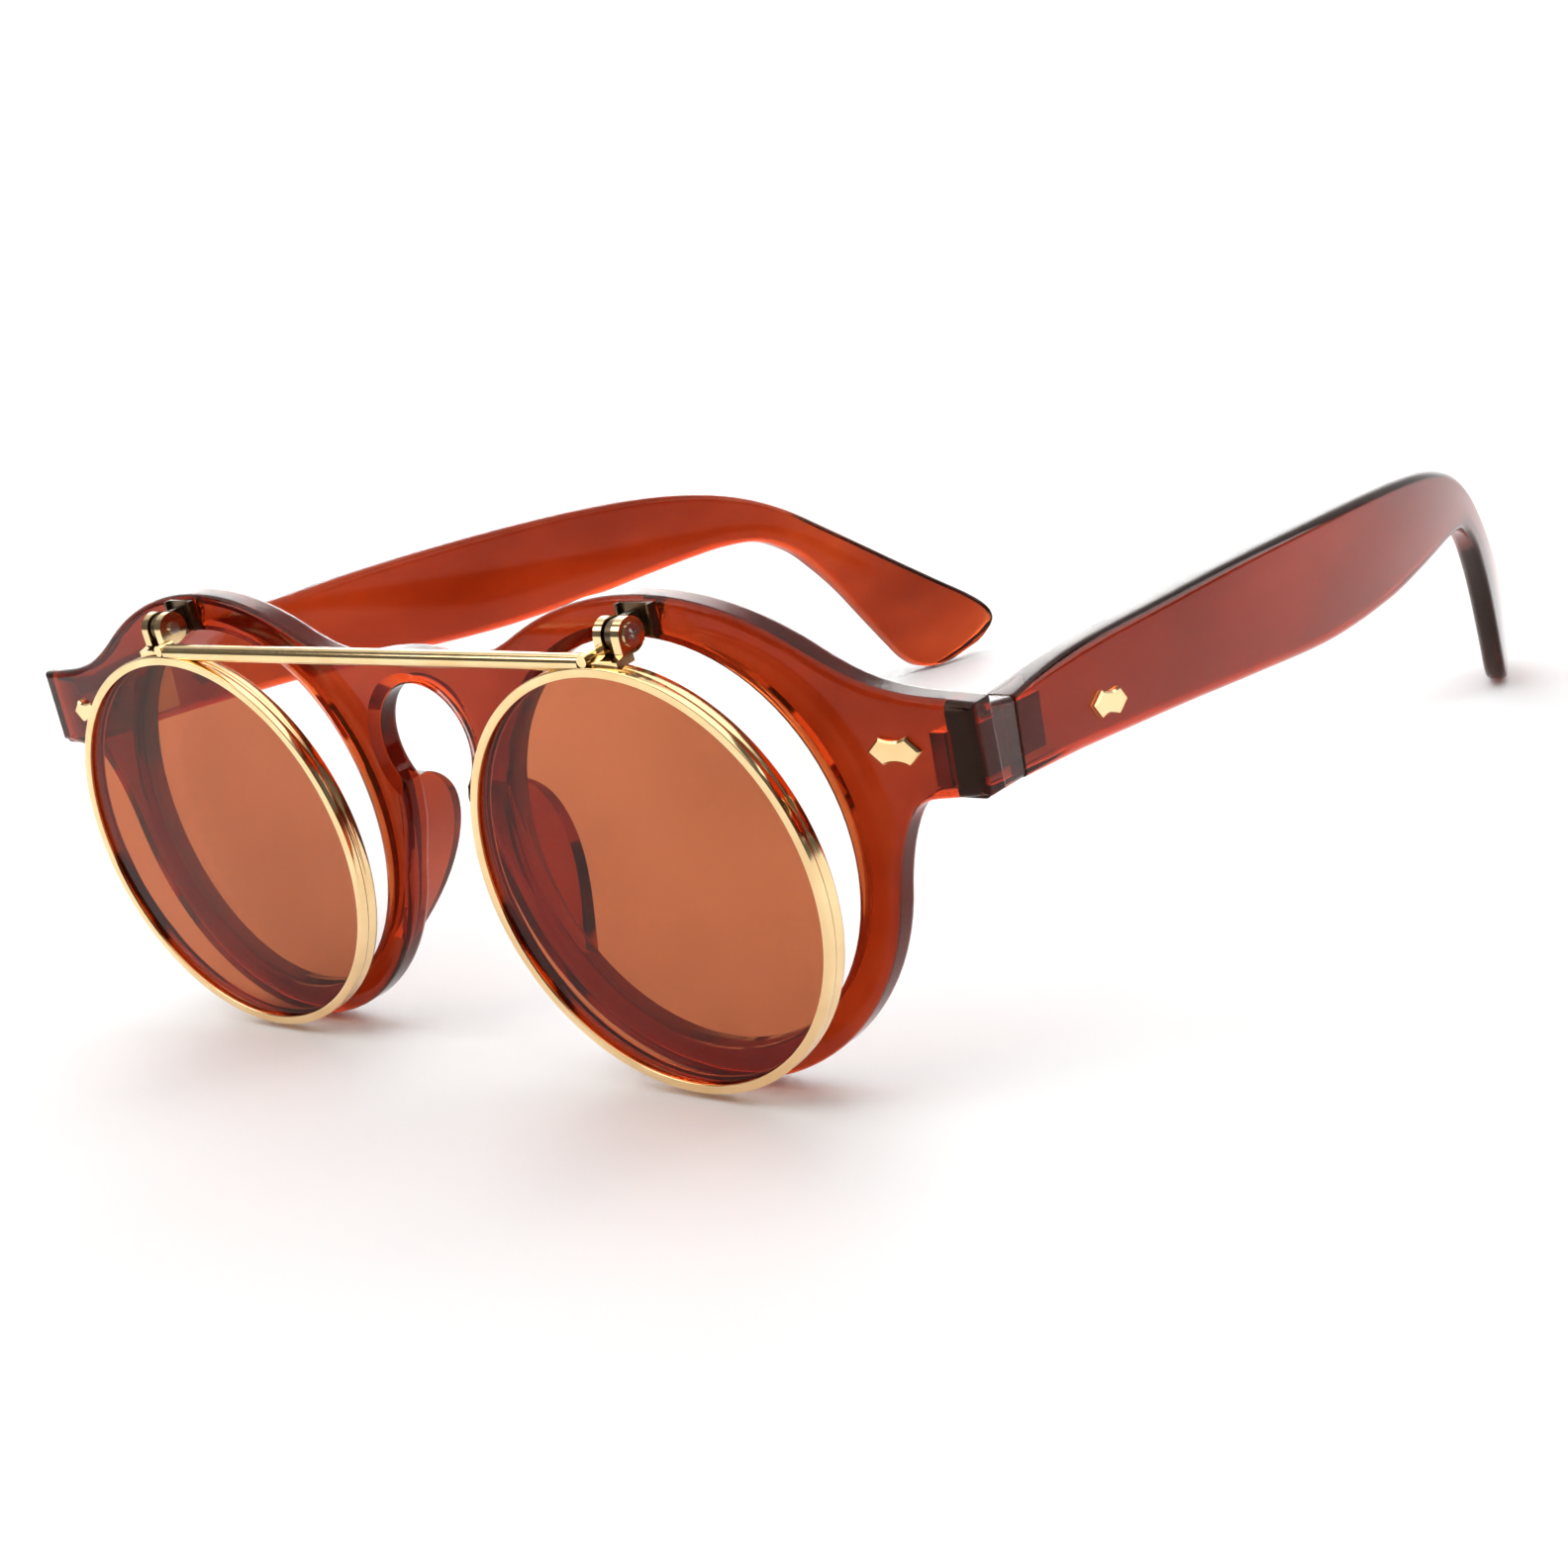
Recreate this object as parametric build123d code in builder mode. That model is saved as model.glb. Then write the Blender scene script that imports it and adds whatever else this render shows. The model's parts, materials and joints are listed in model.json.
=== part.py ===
"""Round flip-up sunglasses: a plastic spectacle frame with clear lenses, and a hinged metal
front with tinted lenses that covers them or swings up out of the way.

Millimetres. +Z is up, -Y is the way the wearer looks, and the glasses stand open on a table on
the bottoms of the two rims and the two temple tips. The origin is under the middle of the
glasses, on the table. "right" is the +X side and "left" its mirror image.
"""
import os
from math import asin, cos, radians, sin, sqrt

from build123d import *

# ---- driving dimensions ------------------------------------------------------------------
half_depth = 83.68         # table point of the origin to the frontmost and rearmost points
base_radius = 750.0        # curve of the plastic front, seen from above
front_rake = 3.2           # degrees that the top of the front leans forward
front_height = 25.4        # height of the lens centres above the table
front_back_set = 4.8       # front surface on the middle line, behind the flip rims' plane
front_thickness = 3.4
lens_centre = 32.85        # half of the distance between the lens centres
opening_radius = 22.15     # lens opening of the plastic front
groove_depth = 0.5
half_width = 71.0          # outside of the end pieces

keyhole_height = 9.9       # centre of the round part of the keyhole, above the lens centres
keyhole_radius = 6.75

joint_y = 15.3             # seam between end piece and temple, behind the flip rims' plane
joint_gap = 0.2
hinge_x = 64.6             # temple hinge axis
hinge_z = 35.3
barrel_radius = 1.35
barrel_height = 5.2
temple_thickness = 3.6
temple_outer_x = 69.8
temple_sweep = 24.0        # how far the temple curves in towards the head at its tip
temple_end = 165.2

flip_lean = 5.6            # degrees that the top of the flip front leans forward, lowered
flip_centre = 33.2         # half of the distance between the flip lens centres
flip_height = 23.45        # height of the flip lens centres above the table
rim_inner = 22.0
rim_outer = 23.0
rim_depth = 2.2
pivot_up = 25.15           # flip hinge axis, above the flip lens centres
pivot_back = 3.5           # and behind the front face of the flip rims
pivot_x = 35.4             # middle of each clevis
ear_radius = 1.8
clevis_width = 3.4
slot_width = 1.3
pivot_radius = 0.65
running_gap = 0.06

# ---- places ------------------------------------------------------------------------------
rim_plane_y = 2.3 - half_depth                       # flip rims' front face, at lens height


def world_y(y):
    """Distance behind the flip rims' plane at lens height, as a Y of the whole part."""
    return rim_plane_y + y


rake = radians(front_rake)
lean = radians(flip_lean)
front_plane = Plane(
    origin=(0, world_y(front_back_set), front_height),
    x_dir=(1, 0, 0),
    z_dir=(0, -cos(rake), -sin(rake)),
)
plan_plane = Plane(origin=front_plane.origin, x_dir=(1, 0, 0), z_dir=front_plane.y_dir)
flip_plane = Plane(
    origin=(0, rim_plane_y, flip_height),
    x_dir=(1, 0, 0),
    z_dir=(0, -cos(lean), -sin(lean)),
)


def surface_back(across, radius=base_radius):
    """How far the curved front surface lies behind its tangent plane on the middle line."""
    return radius - sqrt(radius * radius - across * across)


wrap = asin(lens_centre / base_radius)
lens_plane = Plane(
    origin=front_plane.from_local_coords((lens_centre, 0, -surface_back(lens_centre))),
    x_dir=front_plane.x_dir * cos(wrap) - front_plane.z_dir * sin(wrap),
    z_dir=front_plane.x_dir * sin(wrap) + front_plane.z_dir * cos(wrap),
)
lens_side_plane = Plane(origin=lens_plane.origin, x_dir=lens_plane.x_dir, z_dir=-lens_plane.y_dir)
flip_lens_plane = Plane(
    origin=flip_plane.from_local_coords((flip_centre, 0, 0)),
    x_dir=flip_plane.x_dir,
    z_dir=flip_plane.z_dir,
)
flip_side_plane = Plane(
    origin=flip_lens_plane.origin, x_dir=flip_plane.x_dir, z_dir=-flip_plane.y_dir
)
pivot_plane = Plane(
    origin=flip_plane.from_local_coords((pivot_x, pivot_up, -pivot_back)),
    x_dir=-flip_plane.z_dir,
    z_dir=(1, 0, 0),
)
hinge_plane = Plane(origin=(hinge_x, world_y(joint_y), hinge_z))
lens_axis = Axis(lens_plane.origin, lens_plane.z_dir)
flip_lens_axis = Axis(flip_lens_plane.origin, flip_lens_plane.z_dir)
pivot_local = front_plane.to_local_coords(pivot_plane.origin)


def tangent_plane(across, up):
    """Plane that lies on the curved front surface at a point given across and up the front."""
    angle = asin(across / base_radius)
    return Plane(
        origin=front_plane.from_local_coords((across, up, -surface_back(across))),
        x_dir=front_plane.x_dir * cos(angle) - front_plane.z_dir * sin(angle),
        z_dir=front_plane.x_dir * sin(angle) + front_plane.z_dir * cos(angle),
    )


def temple_surface(y):
    """Outer face of the right temple: how far from the middle, at a distance y back."""
    share = (y - joint_y) / (temple_end - joint_y)
    return temple_outer_x - temple_sweep * max(share, 0) ** 3.1


# ---- gold studs --------------------------------------------------------------------------
stud_half_length = 2.9
stud_corner = (1.47, 1.36)
stud_waist = 1.04
stud_height = 0.6
stud_pin_radius = 0.4
stud_pin_length = 1.2
stud_pin_offset = 1.4
stud_v = 11.0
front_stud_plane = tangent_plane(62.1, stud_v)
stud_temple_y = 30.1
temple_stud_plane = Plane(
    origin=(temple_surface(stud_temple_y - stud_half_length), world_y(stud_temple_y), 34.4),
    x_dir=(0, cos(radians(8)), -sin(radians(8))),
    z_dir=(1, 0, 0),
)


def stud_pins(plane):
    with BuildPart() as pins:
        with BuildSketch(plane):
            with Locations((-stud_pin_offset, 0), (stud_pin_offset, 0)):
                Circle(stud_pin_radius)
        extrude(amount=-stud_pin_length)
    return pins.part


def stud(plane):
    """Long six-cornered plate with hollowed long sides, held by two pins."""
    tip = stud_half_length
    cx, cy = stud_corner
    with BuildPart() as plate:
        with BuildSketch(plane):
            with BuildLine():
                Polyline((-cx, -cy), (-tip, 0), (-cx, cy))
                ThreePointArc((-cx, cy), (0, stud_waist), (cx, cy))
                Polyline((cx, cy), (tip, 0), (cx, -cy))
                ThreePointArc((cx, -cy), (0, -stud_waist), (-cx, -cy))
            make_face()
        extrude(amount=stud_height)
        chamfer(plate.faces().sort_by(Axis(plane.origin, plane.z_dir))[-1].edges(), 0.2)
        add(stud_pins(plane))
    return plate.part


# ---- plastic front -----------------------------------------------------------------------
bracket_v = 24.1
bracket_size = (4.6, 3.4)
bracket_floor = -surface_back(pivot_x) - 0.5
bracket_plane = front_plane.offset(bracket_floor)
bracket_screw_radius = 0.6
bracket_head_radius = 1.2
bracket_head_height = 0.7
front_back = -surface_back(pivot_x) - front_thickness
bracket_screw_plane = front_plane.offset(front_back)
bracket_screw_plane.origin = front_plane.from_local_coords((pivot_x, bracket_v, front_back))
bevel_width = 1.5                             # bevel in front of each plastic lens opening
bevel_depth = 0.45
leaf_plate = (64.95, 66.6)                    # hinge leaf, from its inner to its outer face
leaf_length = 6.4


def nose_pad():
    """Fin that runs back from the nose edge of the right rim."""
    inner = [(5.1, 5.0), (5.4, 1.4), (7.1, -4.4), (10.3, -11.3), (14.2, -16.6)]
    outer = [(15.9, -15.4), (12.1, -10.6), (9.3, -4.0), (7.9, 1.4), (7.5, 5.0)]
    side_plane = Plane(origin=front_plane.origin, x_dir=front_plane.y_dir, z_dir=(-1, 0, 0))
    with BuildPart() as pad:
        with BuildSketch(front_plane):
            with BuildLine():
                Spline(*inner)
                Line(inner[-1], outer[0])
                Spline(*outer)
                Line(outer[-1], inner[0])
            make_face()
        extrude(amount=12, dir=front_plane.x_dir * 0.14 - front_plane.z_dir)
        with BuildSketch(side_plane):
            with BuildLine():
                Spline(
                    (5.0, 1.2), (4.7, 5.4), (1.6, 8.6), (-1.8, 9.4), (-8.6, 7.8), (-16.6, 1.2)
                )
                Line((-16.6, 1.2), (5.0, 1.2))
            make_face()
        extrude(amount=-30, mode=Mode.INTERSECT)
    return pad.part


def end_return():
    """Right end piece behind the front surface, back to the seam with the temple."""
    with BuildPart() as block:
        with BuildSketch(Plane.YZ):
            with BuildLine():
                Polyline(
                    (world_y(8.4), 31.75), (world_y(joint_y - joint_gap / 2), 31.4),
                    (world_y(joint_y - joint_gap / 2), 39.4), (world_y(8.4), 40.55),
                    close=True,
                )
            make_face()
        extrude(amount=80)
        with BuildSketch(Plane.XY):
            with BuildLine():
                Polyline(
                    (temple_outer_x - temple_thickness, world_y(8.4)),
                    (temple_outer_x - temple_thickness, world_y(joint_y)),
                    (temple_outer_x, world_y(joint_y)),
                    (half_width - 0.1, world_y(8.4)),
                    close=True,
                )
            make_face()
        extrude(amount=60, mode=Mode.INTERSECT)
        fillet(block.edges().filter_by(lambda e: abs(e.tangent_at(0.5).Y) > 0.9), 0.7)
        add(leaf_blank(joint_y - leaf_length, joint_y), mode=Mode.SUBTRACT)
    return block.part


def cylinder_along(plane, radius, start, end):
    """Solid cylinder on a plane's normal, between two heights."""
    with BuildPart() as rod:
        with BuildSketch(plane.offset(start)):
            Circle(radius)
        extrude(amount=end - start)
    return rod.part


def leaf_blank(start, end):
    """Hinge plate on the inner side of the right temple joint, between two depths."""
    with BuildPart() as blank:
        with BuildSketch(Plane.XY.offset(hinge_z - barrel_height / 2)):
            with Locations((sum(leaf_plate) / 2, world_y((start + end) / 2))):
                Rectangle(leaf_plate[1] - leaf_plate[0], end - start)
        extrude(amount=barrel_height)
    return blank.part


def lens_turned(points):
    """Ring turned about the right lens axis from a half section (radius, forward)."""
    with BuildPart() as ring:
        with BuildSketch(lens_side_plane):
            with BuildLine():
                Polyline(*points, close=True)
            make_face()
        revolve(axis=lens_axis)
    return ring.part


def front_cutters():
    """Everything cut out of the right half of the plastic front, one piece at a time."""
    mid = opening_radius
    yield cylinder_along(lens_plane, mid, -10, 6)
    yield lens_turned(
        ((mid - 1, -0.95), (mid, -0.95), (mid + groove_depth, -1.6), (mid, -2.45), (mid - 1, -2.45))
    )
    yield lens_turned(
        (
            (mid - 1, 0.3), (mid + bevel_width + 1, 0.3), (mid + bevel_width, 0),
            (mid, -bevel_depth), (mid - 1, -bevel_depth - 0.3),
        )
    )
    yield stud_pins(front_stud_plane)
    yield leaf_blank(joint_y - leaf_length, joint_y)
    with BuildPart() as pocket:
        with BuildSketch(bracket_plane):
            with Locations((pivot_x, bracket_v)):
                Rectangle(*bracket_size)
        extrude(amount=3)
    yield pocket.part
    yield cylinder_along(bracket_screw_plane, bracket_screw_radius, -1, 4)
    yield cylinder_along(bracket_screw_plane, bracket_head_radius, -2, bracket_head_height)


with BuildPart() as front_frame:
    with BuildSketch(plan_plane):
        edge_back = surface_back(half_width)
        with BuildLine():
            ThreePointArc((-half_width, edge_back), (0, 0), (half_width, edge_back))
            Line((half_width, edge_back), (half_width, edge_back + front_thickness))
            ThreePointArc(
                (half_width, edge_back + front_thickness),
                (0, front_thickness),
                (-half_width, edge_back + front_thickness),
            )
            Line((-half_width, edge_back + front_thickness), (-half_width, edge_back))
        make_face()
    extrude(amount=45, both=True)
    with BuildSketch(front_plane):
        with BuildLine():
            brow = ThreePointArc((17.5, 22.3), (34.0, 26.3), (52.8, 20.8))
            Spline((0, 20.4), (9.6, 19.6), (17.5, 22.3), tangents=((1, 0), brow % 0))
            Spline(
                (52.8, 20.8), (60.5, 16.9), (half_width, 15.4), tangents=(brow % 1, (1, -0.1))
            )
            Line((half_width, 15.4), (half_width, 6.5))
            Line((half_width, 6.5), (65.2, 6.0))
            rim = ThreePointArc((58.7, -4.6), (33.0, -25.52), (8.0, -7.0))
            Spline((65.2, 6.0), (61.2, 3.0), (58.7, -4.6), tangents=((-1, -0.09), rim % 0))
            Spline((8.0, -7.0), (4.9, 5.25), tangents=(rim % 1, (0.05, 1)))
            ThreePointArc(
                (4.9, 5.25), (keyhole_radius, keyhole_height), (0, keyhole_height + keyhole_radius)
            )
            Line((0, keyhole_height + keyhole_radius), (0, 20.4))
        make_face()
        mirror(about=Plane.YZ)
    extrude(amount=20, both=True, mode=Mode.INTERSECT)

    for corner in (0, -1):
        skins = front_frame.faces().filter_by(GeomType.CYLINDER).sort_by(SortBy.AREA)[-2:]
        fillet(skins.sort_by(Axis.Y)[corner].edges(), 0.8)
    for cutter in front_cutters():
        add(cutter, mode=Mode.SUBTRACT)
        add(mirror(cutter, about=Plane.YZ), mode=Mode.SUBTRACT)
    with BuildSketch(front_plane):
        with Locations((0, keyhole_height)):
            Circle(keyhole_radius + 1.4)
    extrude(amount=-0.7, taper=60, mode=Mode.SUBTRACT)
    for half in (nose_pad(), end_return()):
        add(half)
        add(mirror(half, about=Plane.YZ))


with BuildPart() as clear_lens:
    with BuildSketch(lens_side_plane):
        with BuildLine():
            Spline((0, -0.1), (11.05, -0.325), (22.1, -1.0), tangents=((1, 0), (1, -0.081)))
            Polyline((22.1, -1.0), (opening_radius + groove_depth - 0.05, -1.6), (22.1, -2.35))
            Spline((22.1, -2.35), (11.05, -1.71), (0, -1.5), tangents=((-1, 0.077), (-1, 0)))
            Line((0, -1.5), (0, -0.1))
        make_face()
    revolve(axis=lens_axis)

with BuildPart() as front_stud:
    add(stud(front_stud_plane))

# ---- temple and its hinge ----------------------------------------------------------------
barrel_gap = 0.1
middle_barrel = 1.8
knuckle_clear = barrel_radius + 0.15


def hinge_rod(radius, bottom, top):
    """Cylinder on the temple hinge axis, between two heights from the middle of the hinge."""
    return cylinder_along(hinge_plane, radius, bottom, top)


with BuildPart() as front_hinge_leaf:
    add(leaf_blank(joint_y - leaf_length, joint_y - joint_gap / 2))
    add(hinge_rod(barrel_radius, -barrel_height / 2, barrel_height / 2))
    middle = middle_barrel / 2 + barrel_gap
    add(hinge_rod(knuckle_clear, -middle, middle), mode=Mode.SUBTRACT)
    add(hinge_rod(pivot_radius, -barrel_height, barrel_height), mode=Mode.SUBTRACT)

with BuildPart() as temple_hinge_leaf:
    add(leaf_blank(joint_y + joint_gap / 2, joint_y + leaf_length))
    for end in (-1, 1):
        inner, outer = sorted((end * middle_barrel / 2, end * barrel_height))
        add(hinge_rod(knuckle_clear, inner, outer), mode=Mode.SUBTRACT)
    add(hinge_rod(barrel_radius, -middle_barrel / 2, middle_barrel / 2))
    add(hinge_rod(pivot_radius + running_gap, -barrel_height, barrel_height), mode=Mode.SUBTRACT)

with BuildPart() as temple_hinge_screw:
    add(hinge_rod(pivot_radius, -barrel_height / 2, barrel_height / 2))
    add(hinge_rod(1.1, barrel_height / 2, barrel_height / 2 + 0.7))
    with BuildSketch(hinge_plane.offset(barrel_height / 2 + 0.35)):
        Rectangle(0.3, 3, rotation=35)
    extrude(amount=1, mode=Mode.SUBTRACT)

with BuildPart() as temple:
    with BuildSketch(Plane.YZ):
        with BuildLine():
            seam = world_y(joint_y + joint_gap / 2)
            top = Spline(
                *[(world_y(y), z) for y, z in (
                    (joint_y + joint_gap / 2, 39.4), (27, 40.9), (60, 41.4), (95, 40.2),
                    (118, 37.2), (131, 32.2), (145, 22.7), (163.2, 9.0),
                )]
            )
            Spline(
                *[(world_y(y), z) for y, z in ((163.2, 9.0), (165.0, 5.6), (155.2, 0), (149.2, 3.4))],
                tangents=(top % 1, (-0.5, 1)),
            )
            Spline(
                *[(world_y(y), z) for y, z in (
                    (149.2, 3.4), (142.6, 13.4), (135.3, 22.6), (128.5, 27.0), (119, 28.2),
                    (100, 27.2), (80, 27.0), (55, 28.9), (30, 30.6),
                    (joint_y + joint_gap / 2, 31.4),
                )],
                tangents=((-0.5, 1), (-1, 0.05)),
            )
            Line((seam, 31.4), (seam, 39.4))
        make_face()
    extrude(amount=80)
    with BuildSketch(Plane.XY):
        with BuildLine():
            stations = [joint_y, 40, 65, 90, 110, 128, 146, temple_end + 3]
            outer = Spline(*[(temple_surface(y), world_y(y)) for y in stations])
            inner = Spline(*[(temple_surface(y) - temple_thickness, world_y(y)) for y in stations])
            Line(outer @ 0, inner @ 0)
            Line(outer @ 1, inner @ 1)
        make_face()
    extrude(amount=60, mode=Mode.INTERSECT)
    add(leaf_blank(joint_y, joint_y + leaf_length), mode=Mode.SUBTRACT)
    add(stud_pins(temple_stud_plane), mode=Mode.SUBTRACT)

with BuildPart() as temple_stud:
    add(stud(temple_stud_plane))

# ---- bracket that carries the flip front -------------------------------------------------
tongue_radius = 1.55
tongue_width = 0.9
bracket_thickness = 0.9
rib_width = 0.35

with BuildPart() as flip_bracket:
    with BuildSketch(bracket_plane):
        with Locations((pivot_x, bracket_v)):
            Rectangle(*bracket_size)
    extrude(amount=bracket_thickness)
    with BuildSketch(bracket_plane.offset(bracket_thickness)):
        for offset in (-2.05, 2.05):
            with Locations((pivot_x + offset, bracket_v)):
                Rectangle(rib_width, bracket_size[1])
    extrude(amount=0.5)
    with BuildSketch(pivot_plane.offset(-tongue_width / 2)):
        Circle(tongue_radius)
    extrude(amount=tongue_width)
    with BuildSketch(bracket_plane.offset(bracket_thickness)):
        with Locations((pivot_x, pivot_local.Y)):
            Rectangle(tongue_width, 2 * tongue_radius)
    extrude(amount=pivot_local.Z - bracket_floor - bracket_thickness)
    add(
        cylinder_along(pivot_plane, pivot_radius + running_gap, -tongue_width, tongue_width),
        mode=Mode.SUBTRACT,
    )

with BuildPart() as flip_bracket_screw:
    add(cylinder_along(bracket_screw_plane, bracket_head_radius, -0.1, bracket_head_height))
    add(
        cylinder_along(bracket_screw_plane, bracket_screw_radius, 0, bracket_floor - front_back)
    )
    with BuildSketch(bracket_screw_plane.offset(-0.1)):
        for turn in (20, 110):
            Rectangle(0.35, 1.5, rotation=turn)
    extrude(amount=0.4, mode=Mode.SUBTRACT)

# ---- flip front --------------------------------------------------------------------------
bar_radius = 0.9
bar_up = 23.25
bar_back = 0.95
bar_half_length = 32.3
stem_back = (1.7, 3.1)
foot_back = 0.6
slot_floor = 23.4
head_radius = 1.15
head_height = 0.5
head_seat = clevis_width / 2 - 0.35
flip_groove = 22.5
lock_x = 33.0
lock_radius = 0.62


def ring_solid(radius, back, front):
    """Solid disc on the axis of the right flip rim."""
    return cylinder_along(flip_lens_plane, radius, back, front)


with BuildPart() as flip_rim:
    with BuildSketch(flip_side_plane):
        with BuildLine():
            Polyline(
                (rim_inner, 0), (rim_outer - 0.15, 0), (rim_outer, -0.15),
                (rim_outer, 0.15 - rim_depth), (rim_outer - 0.15, -rim_depth),
                (rim_inner, -rim_depth), (rim_inner, -1.95), (flip_groove, -1.95),
                (flip_groove, -0.4), (rim_inner, -0.4),
                close=True,
            )
        make_face()
    revolve(axis=flip_lens_axis)

with BuildPart() as flip_lens:
    with BuildSketch(flip_lens_plane.offset(-1.8)):
        Circle(flip_groove)
    extrude(amount=1.3)

with BuildPart() as flip_clevis:
    with BuildSketch(pivot_plane.offset(-clevis_width / 2)):
        Circle(ear_radius)
        with BuildLine():
            front = stem_back[0] - pivot_back
            rear = stem_back[1] - pivot_back
            foot = foot_back - pivot_back
            Polyline(
                (front, 0), (front, -1.5), (foot, -1.8), (foot, -2.95), (rear, -2.95),
                (rear, -1.5), (0, 0),
                close=True,
            )
        make_face()
    extrude(amount=clevis_width)
    with BuildSketch(pivot_plane.offset(-slot_width / 2)):
        with Locations((0, (slot_floor - pivot_up) / 2 + 2)):
            Rectangle(8, 4 + pivot_up - slot_floor)
    extrude(amount=slot_width, mode=Mode.SUBTRACT)
    add(cylinder_along(pivot_plane, pivot_radius, -3, 3), mode=Mode.SUBTRACT)
    add(cylinder_along(pivot_plane, head_radius, head_seat, 3), mode=Mode.SUBTRACT)
    add(ring_solid(rim_outer, -8, 4), mode=Mode.SUBTRACT)

with BuildPart() as flip_pivot_screw:
    add(cylinder_along(pivot_plane, pivot_radius, -clevis_width / 2 - 0.3, head_seat))
    add(cylinder_along(pivot_plane, head_radius, head_seat, head_seat + head_height))
    with BuildSketch(pivot_plane.offset(head_seat + head_height - 0.25)):
        for turn in (15, 105):
            Rectangle(0.3, 1.3, rotation=turn)
    extrude(amount=1, mode=Mode.SUBTRACT)

with BuildPart() as flip_rim_lock:
    lock_plane = flip_lens_plane.offset(-rim_depth)
    lock_plane.origin = flip_plane.from_local_coords((lock_x, bar_up + 0.35, -rim_depth))
    add(cylinder_along(lock_plane, lock_radius, 0.1, rim_depth - 0.1))
    add(ring_solid(rim_outer, -8, 4), mode=Mode.SUBTRACT)

with BuildPart() as flip_bar:
    bar_plane = Plane(
        origin=flip_plane.from_local_coords((0, bar_up, -bar_back)),
        x_dir=flip_plane.y_dir,
        z_dir=(1, 0, 0),
    )
    add(cylinder_along(bar_plane, bar_radius, -bar_half_length, bar_half_length))
    right_disc = ring_solid(rim_outer, -8, 4)
    for disc in (right_disc, mirror(right_disc, about=Plane.YZ)):
        add(disc, mode=Mode.SUBTRACT)

# ---- files -------------------------------------------------------------------------------
right_pieces = {
    "clear_lens": clear_lens,
    "front_stud": front_stud,
    "front_hinge_leaf": front_hinge_leaf,
    "temple": temple,
    "temple_stud": temple_stud,
    "temple_hinge_leaf": temple_hinge_leaf,
    "temple_hinge_screw": temple_hinge_screw,
    "flip_bracket": flip_bracket,
    "flip_bracket_screw": flip_bracket_screw,
    "flip_clevis": flip_clevis,
    "flip_pivot_screw": flip_pivot_screw,
    "flip_rim": flip_rim,
    "flip_rim_lock": flip_rim_lock,
    "flip_lens": flip_lens,
}
os.makedirs("parts", exist_ok=True)
front_frame.part.label = "front_frame"
export_step(front_frame.part, "parts/front_frame.step")
flip_bar.part.label = "flip_bar"
export_step(flip_bar.part, "parts/flip_bar.step")
for name, piece in right_pieces.items():
    piece.part.label = name + "_right"
    export_step(piece.part, f"parts/{name}_right.step")
    twin = mirror(piece.part, about=Plane.YZ)
    twin.label = name + "_left"
    export_step(twin, f"parts/{name}_left.step")
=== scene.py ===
"""Looks of the round flip-up sunglasses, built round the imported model.

Metres. +Z up, -Y the way the wearer looks, +X the right-hand side seen from the front. Shapes
are worked out in millimetres and turned into metres where a mesh is made.
"""
import json
import math

import bmesh
import bpy
from mathutils import Matrix, Vector


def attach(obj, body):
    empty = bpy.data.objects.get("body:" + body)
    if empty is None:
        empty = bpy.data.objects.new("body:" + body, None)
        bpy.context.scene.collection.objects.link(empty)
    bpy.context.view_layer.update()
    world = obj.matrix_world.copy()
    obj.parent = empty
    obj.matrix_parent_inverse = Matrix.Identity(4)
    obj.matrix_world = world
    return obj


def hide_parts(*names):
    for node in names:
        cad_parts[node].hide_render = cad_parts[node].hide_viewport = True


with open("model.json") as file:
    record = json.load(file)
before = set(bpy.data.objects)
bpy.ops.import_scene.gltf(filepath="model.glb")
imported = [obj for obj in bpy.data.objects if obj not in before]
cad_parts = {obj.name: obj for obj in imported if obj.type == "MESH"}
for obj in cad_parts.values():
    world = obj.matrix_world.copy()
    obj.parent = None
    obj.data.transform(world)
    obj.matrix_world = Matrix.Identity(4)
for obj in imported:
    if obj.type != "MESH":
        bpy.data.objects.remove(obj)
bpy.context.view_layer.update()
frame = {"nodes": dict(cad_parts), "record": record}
nodes = frame["nodes"]
MM = 0.001
SIDES = {"right": 1, "left": -1}

# ---- driving dimensions, mm --------------------------------------------------------------
HALF_DEPTH = 83.68
RIM_PLANE_Y = 2.3 - HALF_DEPTH       # front face of the flip rims at lens height
FLIP_LEAN = math.radians(5.6)
FLIP_CENTRE = (33.2, RIM_PLANE_Y, 23.45)
RIM_INNER = 22.0
RIM_OUTER = 23.0
RIM_GROOVE = 22.5                    # bottom of the groove that holds the tinted lens
RIM_DEPTH = 2.2
JOINT_Y = 15.3                       # seam of the temple, behind the flip rims' plane
TEMPLE_END = 165.2
TEMPLE_OUTER = 69.8                  # outer face at the seam, from the middle
TEMPLE_SWEEP = 24.0                  # how far the tip comes in towards the head
TEMPLE_SWEEP_POWER = 3.1
TEMPLE_THICKNESS = 3.6
TEMPLE_TAPER = 0.5                   # how much thinner the tip is than the seam
SEAM_ROUNDING = 0.25


# ---- materials ---------------------------------------------------------------------------
def new_material(name):
    """A material with an empty Principled node; gives (material, tree, principled)."""
    material = bpy.data.materials.new(name)
    material.use_nodes = True
    tree = material.node_tree
    return material, tree, tree.nodes["Principled BSDF"]


def add_node(tree, kind, **values):
    """A new node with its inputs, or its own settings, set by name."""
    node = tree.nodes.new(kind)
    for key, value in values.items():
        if key in node.inputs:
            node.inputs[key].default_value = value
        else:
            setattr(node, key, value)
    return node


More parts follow.
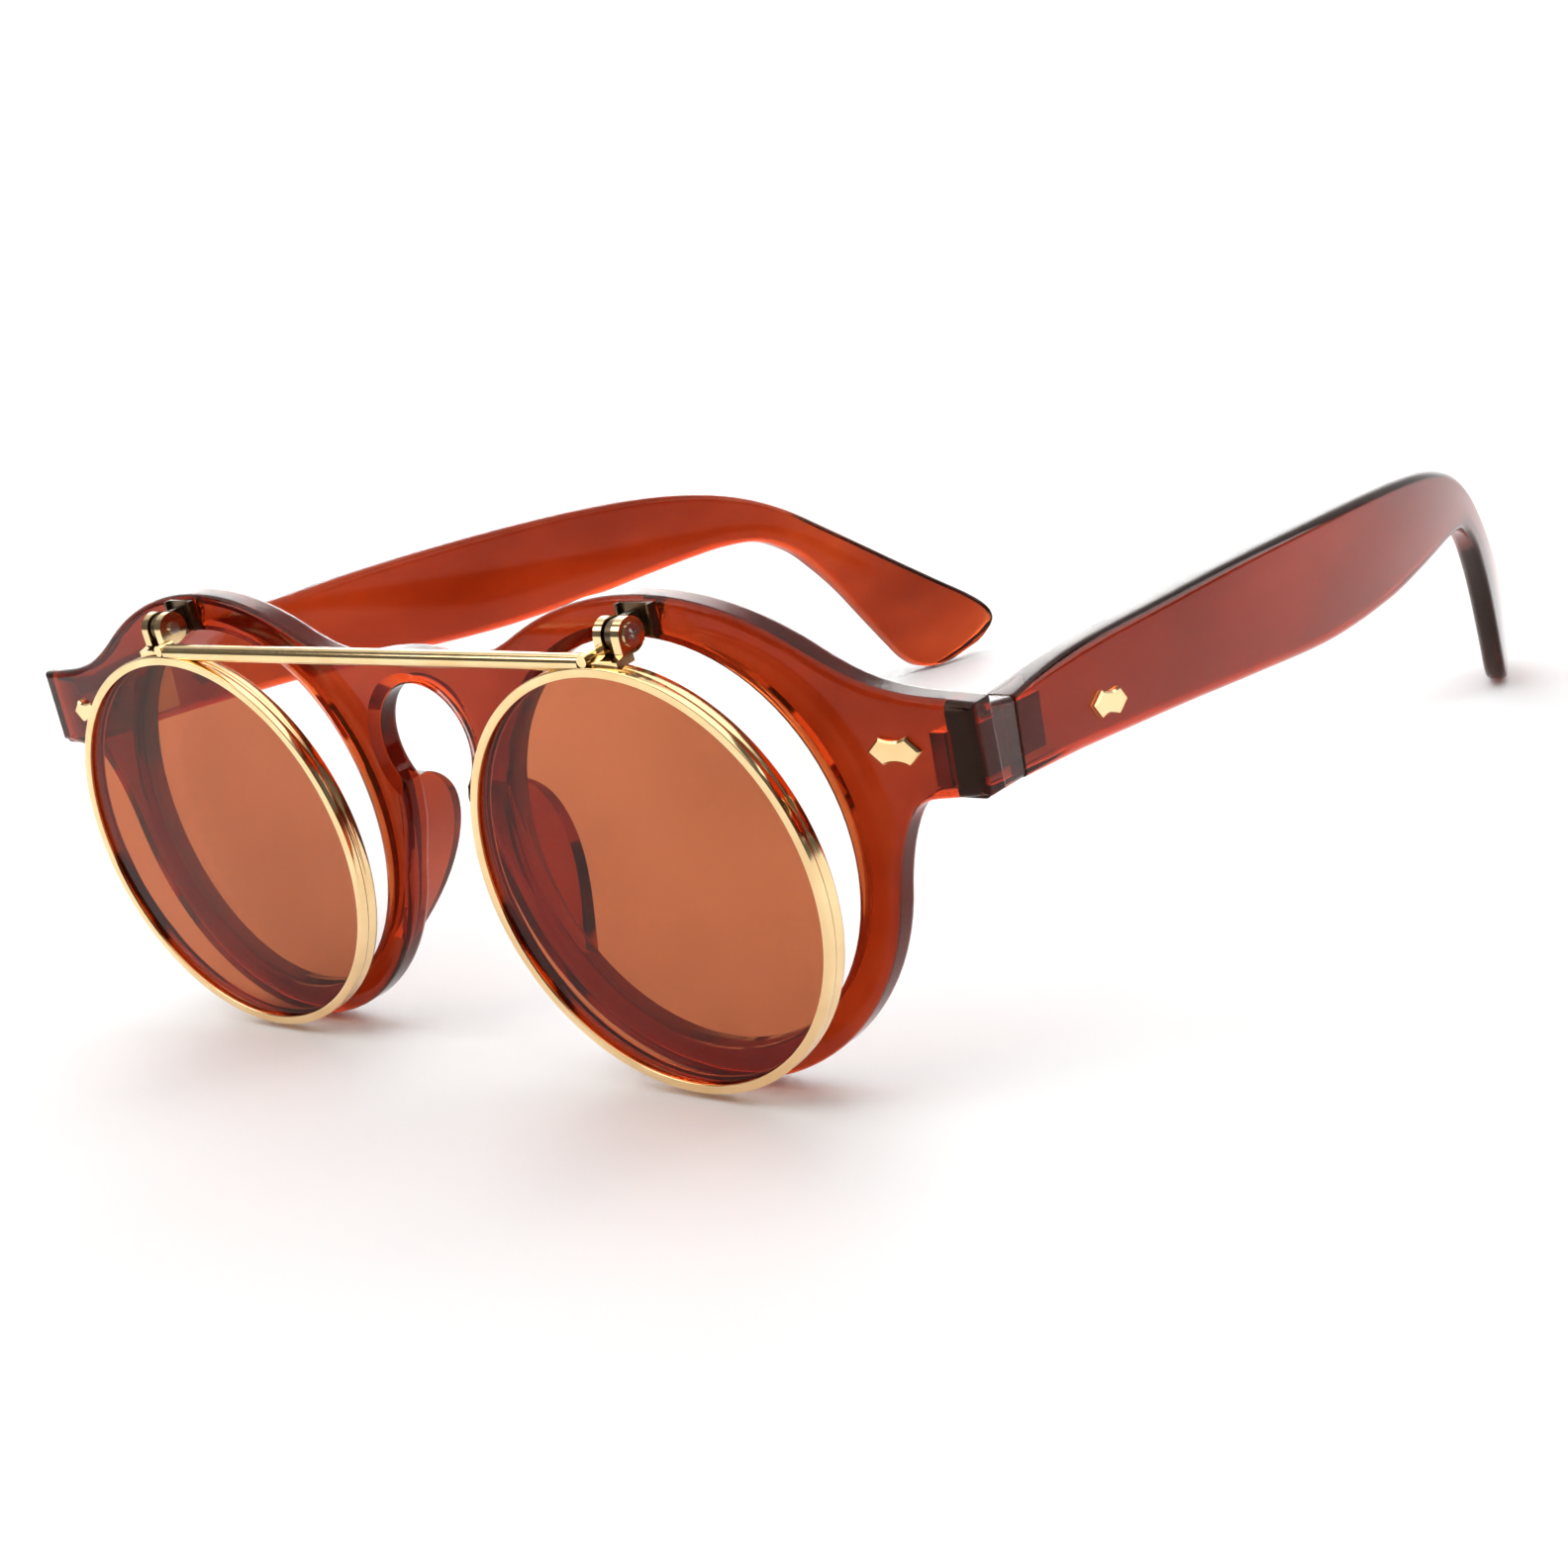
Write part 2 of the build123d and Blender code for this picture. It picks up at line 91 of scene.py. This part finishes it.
def noise(tree, scale, detail=4.0, stretch=(1, 1, 1)):
    """Noise read in the piece's own coordinates, so it stays with the piece as it moves."""
    place = add_node(tree, "ShaderNodeTexCoord")
    mapping = add_node(tree, "ShaderNodeMapping")
    mapping.inputs["Scale"].default_value = stretch
    pattern = add_node(tree, "ShaderNodeTexNoise", Scale=scale, Detail=detail)
    tree.links.new(place.outputs["Object"], mapping.inputs["Vector"])
    tree.links.new(mapping.outputs["Vector"], pattern.inputs["Vector"])
    return pattern


def ramp(tree, source, stops):
    """Colour ramp from a noise's factor; stops are (position, colour)."""
    node = add_node(tree, "ShaderNodeValToRGB")
    elements = node.color_ramp.elements
    while len(elements) < len(stops):
        elements.new(0.5)
    for element, (position, colour) in zip(elements, stops):
        element.position = position
        element.color = (*colour, 1)
    tree.links.new(source, node.inputs["Fac"])
    return node


def spread(tree, source, low, high):
    """Maps a factor of 0..1 to low..high."""
    node = add_node(tree, "ShaderNodeMapRange")
    node.inputs["To Min"].default_value = low
    node.inputs["To Max"].default_value = high
    tree.links.new(source, node.inputs["Value"])
    return node.outputs["Result"]


def bump(tree, shader, source, strength):
    """Relief a hundredth of a millimetre high."""
    node = add_node(tree, "ShaderNodeBump", Strength=strength, Distance=0.01 * MM)
    tree.links.new(source, node.inputs["Height"])
    tree.links.new(node.outputs["Normal"], shader.inputs["Normal"])


def metal(name, dark, light, rough):
    """Polished or satin metal with faint colour drift and fine handling marks."""
    material, tree, shader = new_material(name)
    shader.inputs["Metallic"].default_value = 1.0
    drift = noise(tree, 180.0)
    tint = ramp(tree, drift.outputs["Fac"], ((0.3, dark), (0.7, light)))
    tree.links.new(tint.outputs["Color"], shader.inputs["Base Color"])
    fine = noise(tree, 900.0, 6.0)
    tree.links.new(spread(tree, fine.outputs["Fac"], *rough), shader.inputs["Roughness"])
    bump(tree, shader, fine.outputs["Fac"], 0.3)
    return material


def make_amber():
    """Translucent amber plastic: darker where it is thick, with smoky drifts and a wet gloss."""
    material, tree, shader = new_material("amber_plastic")
    drift = noise(tree, 45.0, 3.0, (1, 0.4, 1))
    tint = ramp(
        tree, drift.outputs["Fac"],
        ((0.3, (0.38, 0.085, 0.02)), (0.5, (0.6, 0.16, 0.045)), (0.7, (0.82, 0.28, 0.085))),
    )
    tree.links.new(tint.outputs["Color"], shader.inputs["Base Color"])
    fine = noise(tree, 700.0, 5.0)
    tree.links.new(spread(tree, fine.outputs["Fac"], 0.03, 0.09), shader.inputs["Roughness"])
    shader.inputs["IOR"].default_value = 1.33
    shader.inputs["Specular Tint"].default_value = (0.8, 0.56, 0.46, 1)
    shader.inputs["Transmission Weight"].default_value = 0.98
    depth = add_node(tree, "ShaderNodeVolumeAbsorption", Density=850.0)
    depth.inputs["Color"].default_value = (0.745, 0.34, 0.16, 1)
    tree.links.new(depth.outputs["Volume"], tree.nodes["Material Output"].inputs["Volume"])
    bump(tree, shader, fine.outputs["Fac"], 0.12)
    return material


def make_pane(name, clear, deep, gloss):
    """Thin lens: tinted see-through, with a mirror share that grows at a glancing angle.

    gloss is (share of mirror face on, share added edge on).
    """
    material, tree, shader = new_material(name)
    output = tree.nodes["Material Output"]
    drift = noise(tree, 25.0, 2.0)
    tint = ramp(tree, drift.outputs["Fac"], ((0.3, deep), (0.7, clear)))
    through = add_node(tree, "ShaderNodeBsdfTransparent")
    tree.links.new(tint.outputs["Color"], through.inputs["Color"])
    shader.inputs["Base Color"].default_value = (0.95, 0.95, 0.95, 1)
    shader.inputs["Metallic"].default_value = 1.0
    smear = noise(tree, 160.0, 4.0)
    tree.links.new(spread(tree, smear.outputs["Fac"], 0.015, 0.05), shader.inputs["Roughness"])
    slant = add_node(tree, "ShaderNodeLayerWeight", Blend=0.5)
    glance = add_node(tree, "ShaderNodeMath", operation="POWER")
    glance.inputs[1].default_value = 4.0
    tree.links.new(slant.outputs["Facing"], glance.inputs[0])
    share = add_node(tree, "ShaderNodeMath", operation="MULTIPLY_ADD")
    share.inputs[1].default_value = gloss[1]
    share.inputs[2].default_value = gloss[0]
    mix = add_node(tree, "ShaderNodeMixShader")
    tree.links.new(glance.outputs["Value"], share.inputs[0])
    tree.links.new(share.outputs["Value"], mix.inputs["Fac"])
    tree.links.new(through.outputs["BSDF"], mix.inputs[1])
    tree.links.new(shader.outputs["BSDF"], mix.inputs[2])
    tree.links.new(mix.outputs["Shader"], output.inputs["Surface"])
    return material


AMBER = make_amber()
GOLD = metal("pale_gold", (0.86, 0.6, 0.29), (0.97, 0.73, 0.4), (0.08, 0.17))
BRONZE = metal("dark_bronze", (0.1, 0.07, 0.045), (0.2, 0.14, 0.09), (0.25, 0.42))
STEEL = metal("screw_steel", (0.72, 0.71, 0.69), (0.86, 0.85, 0.83), (0.12, 0.24))
HINGE = metal("hinge_metal", (0.6, 0.43, 0.25), (0.75, 0.57, 0.36), (0.25, 0.4))
CLEAR = make_pane("clear_lens", (0.99, 0.99, 0.985), (0.965, 0.97, 0.965), (0.02, 0.6))
TINT = make_pane("tinted_lens", (0.695, 0.365, 0.222), (0.625, 0.315, 0.182), (0.02, 0.4))

FINISH = {
    "amber_plastic": AMBER, "gold_metal": GOLD, "dark_bronze": BRONZE, "screw_steel": STEEL,
    "hinge_steel": HINGE, "clear_lens": CLEAR, "tinted_lens": TINT,
}
for part in frame["record"]["subparts"]:
    mesh = nodes[part["node"]].data
    mesh.materials.clear()
    mesh.materials.append(FINISH[part["material_slot"]])


# ---- mesh helpers ------------------------------------------------------------------------
def basis(origin, x_axis, forward):
    """Local plane as a matrix: x across, y up the face, z forward, in millimetres."""
    x_axis, forward = Vector(x_axis).normalized(), Vector(forward).normalized()
    axes = Matrix((x_axis, forward.cross(x_axis), forward)).transposed()
    return Matrix.Translation(origin) @ axes.to_4x4()


FLIP_FORWARD = (0, -math.cos(FLIP_LEAN), -math.sin(FLIP_LEAN))
FLIP_FRAME = basis((0, RIM_PLANE_Y, FLIP_CENTRE[2]), (1, 0, 0), FLIP_FORWARD)


def finish_mesh(name, bm, material, body, replaced, sharp=35):
    """Turns a bmesh in millimetres into a piece that rides on a body."""
    bmesh.ops.recalc_face_normals(bm, faces=bm.faces)
    bmesh.ops.scale(bm, vec=(MM, MM, MM), verts=bm.verts)
    mesh = bpy.data.meshes.new(name)
    bm.to_mesh(mesh)
    bm.free()
    mesh.shade_smooth()
    mesh.set_sharp_from_angle(angle=math.radians(sharp))
    mesh.materials.append(material)
    piece = bpy.data.objects.new(name, mesh)
    bpy.context.scene.collection.objects.link(piece)
    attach(piece, body)
    if replaced:
        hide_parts(*replaced)
    return piece


def skin_rings(bm, rings, closed=False, caps=True):
    """Faces between neighbouring rings of vertices."""
    pairs = list(zip(rings, rings[1:]))
    if closed:
        pairs.append((rings[-1], rings[0]))
    for first, second in pairs:
        count = len(first)
        for i in range(count):
            j = (i + 1) % count
            bm.faces.new((first[i], first[j], second[j], second[i]))
    if caps and not closed:
        bm.faces.new(rings[0])
        bm.faces.new(rings[-1])


def rounded_corners(points, radius, steps):
    """Closed outline with each corner replaced by a small arc (quadratic blend)."""
    result = []
    count = len(points)
    for i, corner in enumerate(points):
        corner = Vector(corner)
        before = Vector(points[i - 1]) - corner
        after = Vector(points[(i + 1) % count]) - corner
        start = corner + before.normalized() * min(radius, before.length * 0.45)
        end = corner + after.normalized() * min(radius, after.length * 0.45)
        for k in range(steps + 1):
            t = k / steps
            result.append(start * (1 - t) ** 2 + corner * 2 * t * (1 - t) + end * t * t)
    return result


def turned(bm, place, outline, steps):
    """Closed outline (radius, forward) turned about the z axis of a place."""
    rings = []
    for i in range(steps):
        angle = 2 * math.pi * i / steps
        c, s = math.cos(angle), math.sin(angle)
        rings.append([bm.verts.new(place @ Vector((r * c, r * s, z))) for r, z in outline])
    skin_rings(bm, rings, closed=True)


def smooth_curve(points, steps):
    """Catmull-Rom curve through points, as a list of vectors."""
    points = [Vector(p) for p in points]
    points = [points[0] * 2 - points[1], *points, points[-1] * 2 - points[-2]]
    curve = []
    for a, b, c, d in zip(points, points[1:], points[2:], points[3:]):
        for k in range(steps):
            t = k / steps
            curve.append(
                0.5 * (2 * b + (c - a) * t + (2 * a - 5 * b + 4 * c - d) * t * t
                       + (3 * b - a - 3 * c + d) * t ** 3)
            )
    curve.append(points[-2])
    return curve


# ---- temples -----------------------------------------------------------------------------
def temple_surface(y):
    """Outer face of a temple: distance from the middle at a distance y back."""
    share = (y - JOINT_Y) / (TEMPLE_END - JOINT_Y)
    return TEMPLE_OUTER - TEMPLE_SWEEP * max(share, 0) ** TEMPLE_SWEEP_POWER


# (back, up) of the upper edge, then of the lower edge, at matching places along the temple
TEMPLE_STATIONS = (
    (15.4, 39.4, 15.4, 31.4), (27, 40.9, 28, 30.75), (45, 41.3, 45, 29.7),
    (60, 41.4, 60, 28.5), (78, 41.0, 78, 27.1), (95, 40.2, 95, 27.05), (108, 39.0, 106, 27.6),
    (118, 37.2, 115, 28.1), (126, 34.7, 121.5, 28.2), (133, 31.2, 127.5, 27.4),
    (139.5, 26.7, 133, 24.5), (145, 22.7, 136.8, 20.8), (151, 18.2, 140.5, 16.3),
    (157, 13.7, 144.3, 10.6), (161.5, 10.3, 147.6, 5.6), (164.2, 7.6, 149.7, 2.6),
    (164.9, 5.4, 151.8, 0.8), (163.4, 3.4, 154.4, 0.1), (160.9, 1.75, 157.0, 0.35),
)
CORNER = 1.15
TIP_ROUNDING = (0.92, 0.72, 0.4)


def temple_section(station, thickness, corner, shrink=0.0):
    """Rounded-rectangle loop of points (share of height, across) for one station."""
    top_y, top_z, low_y, low_z = station
    height = math.hypot(top_y - low_y, top_z - low_z)
    half_h, half_t = height / 2 - shrink, thickness / 2 - shrink
    corner = min(corner, half_h * 0.95, half_t * 0.95)
    loop = []
    for quarter, (sign_h, sign_t) in enumerate(((1, 1), (-1, 1), (-1, -1), (1, -1))):
        for k in range(7):
            angle = math.pi / 2 * (k / 6)
            if quarter % 2:
                angle = math.pi / 2 - angle
            up = sign_h * (half_h - corner + corner * math.cos(angle))
            across = sign_t * (half_t - corner + corner * math.sin(angle))
            loop.append((0.5 + up / height, across))
    return loop


def make_temple(side):
    """Arm lofted through the stations, crisp at the seam and rounded off at the tip."""
    sign = SIDES[side]
    bm = bmesh.new()
    stations = smooth_curve(TEMPLE_STATIONS, 6)
    last = len(stations) - 1
    rings = []

    def ring(station, thickness, corner, shrink=0.0):
        top_y, top_z, low_y, low_z = station
        loop = []
        for share, across in temple_section(station, thickness, corner, shrink):
            y = low_y + (top_y - low_y) * share
            z = low_z + (top_z - low_z) * share
            x = temple_surface(y) - TEMPLE_THICKNESS / 2 + across
            loop.append(bm.verts.new((sign * x, RIM_PLANE_Y + y, z)))
        rings.append(loop)

    for i, station in enumerate(stations):
        thickness = TEMPLE_THICKNESS - TEMPLE_TAPER * i / last
        left = last - i
        if left < len(TIP_ROUNDING):
            thickness *= TIP_ROUNDING[len(TIP_ROUNDING) - 1 - left]
        corner = CORNER * (0.45 + 0.55 * min(i / 5, 1))
        if i == 0:
            ring(station, thickness, corner, shrink=SEAM_ROUNDING)
            station = station + Vector((SEAM_ROUNDING, 0, SEAM_ROUNDING, 0))
        ring(station, thickness, corner)
    skin_rings(bm, rings)
    finish_mesh(f"temple_arm_{side}", bm, AMBER, f"{side}_temple", (f"temple_{side}",))


# ---- flip front --------------------------------------------------------------------------
# half section (radius, forward): fine line round the outside, lens groove round the inside
RIM_SECTION = (
    (RIM_INNER, 0), (RIM_OUTER, 0), (RIM_OUTER, -0.8), (RIM_OUTER - 0.07, -0.9),
    (RIM_OUTER - 0.07, -1.25), (RIM_OUTER, -1.35), (RIM_OUTER, -RIM_DEPTH),
    (RIM_INNER, -RIM_DEPTH), (RIM_INNER, -1.95), (RIM_GROOVE, -1.95), (RIM_GROOVE, -0.4),
    (RIM_INNER, -0.4),
)
RIM_EDGE = 0.13
RIM_STEPS = 200


def make_flip_rim(side):
    """Gold ring of the flip front."""
    place = FLIP_FRAME @ Matrix.Translation((SIDES[side] * FLIP_CENTRE[0], 0, 0))
    bm = bmesh.new()
    turned(bm, place, rounded_corners(RIM_SECTION, RIM_EDGE, 3), RIM_STEPS)
    finish_mesh(f"gold_rim_{side}", bm, GOLD, "flip_front", (f"flip_rim_{side}",), 50)


# width of the rounded edge, mm
EDGE_WIDTHS = {
    "flip_clevis": 0.14, "flip_bracket": 0.06, "flip_pivot_screw": 0.07, "flip_rim_lock": 0.1,
    "front_stud": 0.05, "temple_stud": 0.05, "temple_hinge_screw": 0.07,
    "flip_bracket_screw": 0.06, "front_hinge_leaf": 0.1, "temple_hinge_leaf": 0.1,
}
HELD_IN_POCKETS = (
    "front_hinge_leaf", "temple_hinge_leaf", "flip_bracket", "flip_bracket_screw",
    "front_stud", "temple_stud", "clear_lens", "flip_lens",
)
POCKET_GAP = 0.02


def soften(name, width):
    """Rounds the sharp edges of a carried-over CAD node."""
    node = nodes[name]
    node.data.shade_smooth()
    bevel = node.modifiers.new("edge", "BEVEL")
    bevel.width = width * MM
    bevel.segments = 2
    bevel.limit_method = "ANGLE"
    bevel.angle_limit = math.radians(40)
    bevel.harden_normals = True


def ease(name):
    """Draws a node's faces in a hair from the pocket or groove that holds it."""
    shrink = nodes[name].modifiers.new("ease", "DISPLACE")
    shrink.strength = -POCKET_GAP * MM
    shrink.mid_level = 0.0


for side in SIDES:
    make_temple(side)
    make_flip_rim(side)
    for part, width in EDGE_WIDTHS.items():
        soften(f"{part}_{side}", width)
    for part in HELD_IN_POCKETS:
        ease(f"{part}_{side}")

# ---- floor, light, camera (metres) -------------------------------------------------------
CAMERA_AZIMUTH = math.radians(42.037)
CAMERA_ELEVATION = math.radians(15.364)
CAMERA_ROLL = math.radians(-9.899)
CAMERA_PLACE = (0.20981, -0.2543, 0.09905)
CAMERA_LENS = 60.5
FLOOR_HEADING = math.radians(42.0)   # the way the floor runs to its wall, as the camera looks
FLOOR_NEAR = 4.0                     # from the glasses to the floor's edge on the camera's side
FLOOR_RUN = 0.55                     # flat floor beyond the glasses, before the sweep
FLOOR_HALF_WIDTH = 3.0
FLOOR_DROP = 0.0002
SWEEP_RADIUS = 0.45
SWEEP_STEPS = 16
WALL_HEIGHT = 1.6


def plain_material(name, colour, rough):
    """Matt surface with a barely visible drift in its brightness."""
    material, tree, shader = new_material(name)
    shade = ramp(
        tree, noise(tree, 3.0).outputs["Fac"],
        ((0.3, tuple(0.995 * c for c in colour)), (0.7, colour)),
    )
    tree.links.new(shade.outputs["Color"], shader.inputs["Base Color"])
    shader.inputs["Roughness"].default_value = rough
    return material


def make_floor():
    """Pale floor that sweeps up into a wall on the far side of the glasses from the camera."""
    profile = [(-FLOOR_NEAR, 0.0), (0.0, 0.0), (FLOOR_RUN, 0.0)]
    for k in range(1, SWEEP_STEPS + 1):
        angle = math.pi / 2 * k / SWEEP_STEPS
        profile.append(
            (FLOOR_RUN + SWEEP_RADIUS * math.sin(angle), SWEEP_RADIUS * (1 - math.cos(angle)))
        )
    profile.append((FLOOR_RUN + SWEEP_RADIUS, WALL_HEIGHT))
    away = Vector((-math.sin(FLOOR_HEADING), math.cos(FLOOR_HEADING), 0))
    along = Vector((math.cos(FLOOR_HEADING), math.sin(FLOOR_HEADING), 0))
    bm = bmesh.new()
    rows = [
        [
            bm.verts.new(away * d + along * w + Vector((0, 0, h)))
            for w in (-FLOOR_HALF_WIDTH, 0, FLOOR_HALF_WIDTH)
        ]
        for d, h in profile
    ]
    for near, far in zip(rows, rows[1:]):
        for k in range(2):
            bm.faces.new((near[k], near[k + 1], far[k + 1], far[k]))
    mesh = bpy.data.meshes.new("floor")
    bm.to_mesh(mesh)
    bm.free()
    mesh.shade_smooth()
    mesh.materials.append(plain_material("pale_floor", (0.94, 0.94, 0.94), 0.7))
    floor = bpy.data.objects.new("floor", mesh)
    bpy.context.scene.collection.objects.link(floor)
    floor.location.z = -FLOOR_DROP


def aim(thing, target):
    """Points a light at a place."""
    thing.rotation_mode = "QUATERNION"
    way = Vector(target) - thing.location
    thing.rotation_quaternion = way.to_track_quat("-Z", "Y")


def softbox(name, place, size, power, target=(0, 0, 0.02), spread_angle=180):
    """Rectangular light of a size and a power in watts, aimed at a target."""
    data = bpy.data.lights.new(name, "AREA")
    data.shape = "RECTANGLE"
    data.size, data.size_y = size
    data.energy = power
    data.spread = math.radians(spread_angle)
    light = bpy.data.objects.new(name, data)
    bpy.context.scene.collection.objects.link(light)
    light.location = place
    aim(light, target)


def make_world():
    """Dim, even light from all round."""
    world = bpy.data.worlds.new("studio")
    world.use_nodes = True
    back = world.node_tree.nodes["Background"]
    back.inputs["Color"].default_value = (1.0, 1.0, 1.0, 1)
    back.inputs["Strength"].default_value = 0.12
    bpy.context.scene.world = world


def make_camera():
    """Camera from the front right, a little above, tilted as a hand-framed studio shot is."""
    level = math.cos(CAMERA_ELEVATION)
    back = Vector((
        math.sin(CAMERA_AZIMUTH) * level, -math.cos(CAMERA_AZIMUTH) * level,
        math.sin(CAMERA_ELEVATION),
    ))
    right = Vector((math.cos(CAMERA_AZIMUTH), math.sin(CAMERA_AZIMUTH), 0))
    up = back.cross(right)
    turned_right = right * math.cos(CAMERA_ROLL) + up * math.sin(CAMERA_ROLL)
    turned_up = up * math.cos(CAMERA_ROLL) - right * math.sin(CAMERA_ROLL)
    data = bpy.data.cameras.new("camera")
    data.sensor_width = 36.0
    data.lens = CAMERA_LENS
    data.clip_start = 0.01
    data.clip_end = 20.0
    camera = bpy.data.objects.new("camera", data)
    axes = Matrix((turned_right, turned_up, back)).transposed()
    camera.matrix_world = Matrix.Translation(CAMERA_PLACE) @ axes.to_4x4()
    bpy.context.scene.collection.objects.link(camera)
    bpy.context.scene.camera = camera


make_floor()
make_world()
softbox("top", (-0.1, 0.1, 1.8), (3.0, 3.0), 46.0)
softbox("sweep_wash", (-0.25, 0.27, 1.0), (0.7, 0.5), 9.0, (-0.67, 0.743, 0.5), 80)
softbox("key", (-0.45, -0.6, 0.6), (0.5, 0.4), 2.0)
softbox("rear", (0.55, 0.75, 0.45), (0.5, 0.5), 2.2)
make_camera()
bpy.context.scene.view_settings.view_transform = "Standard"
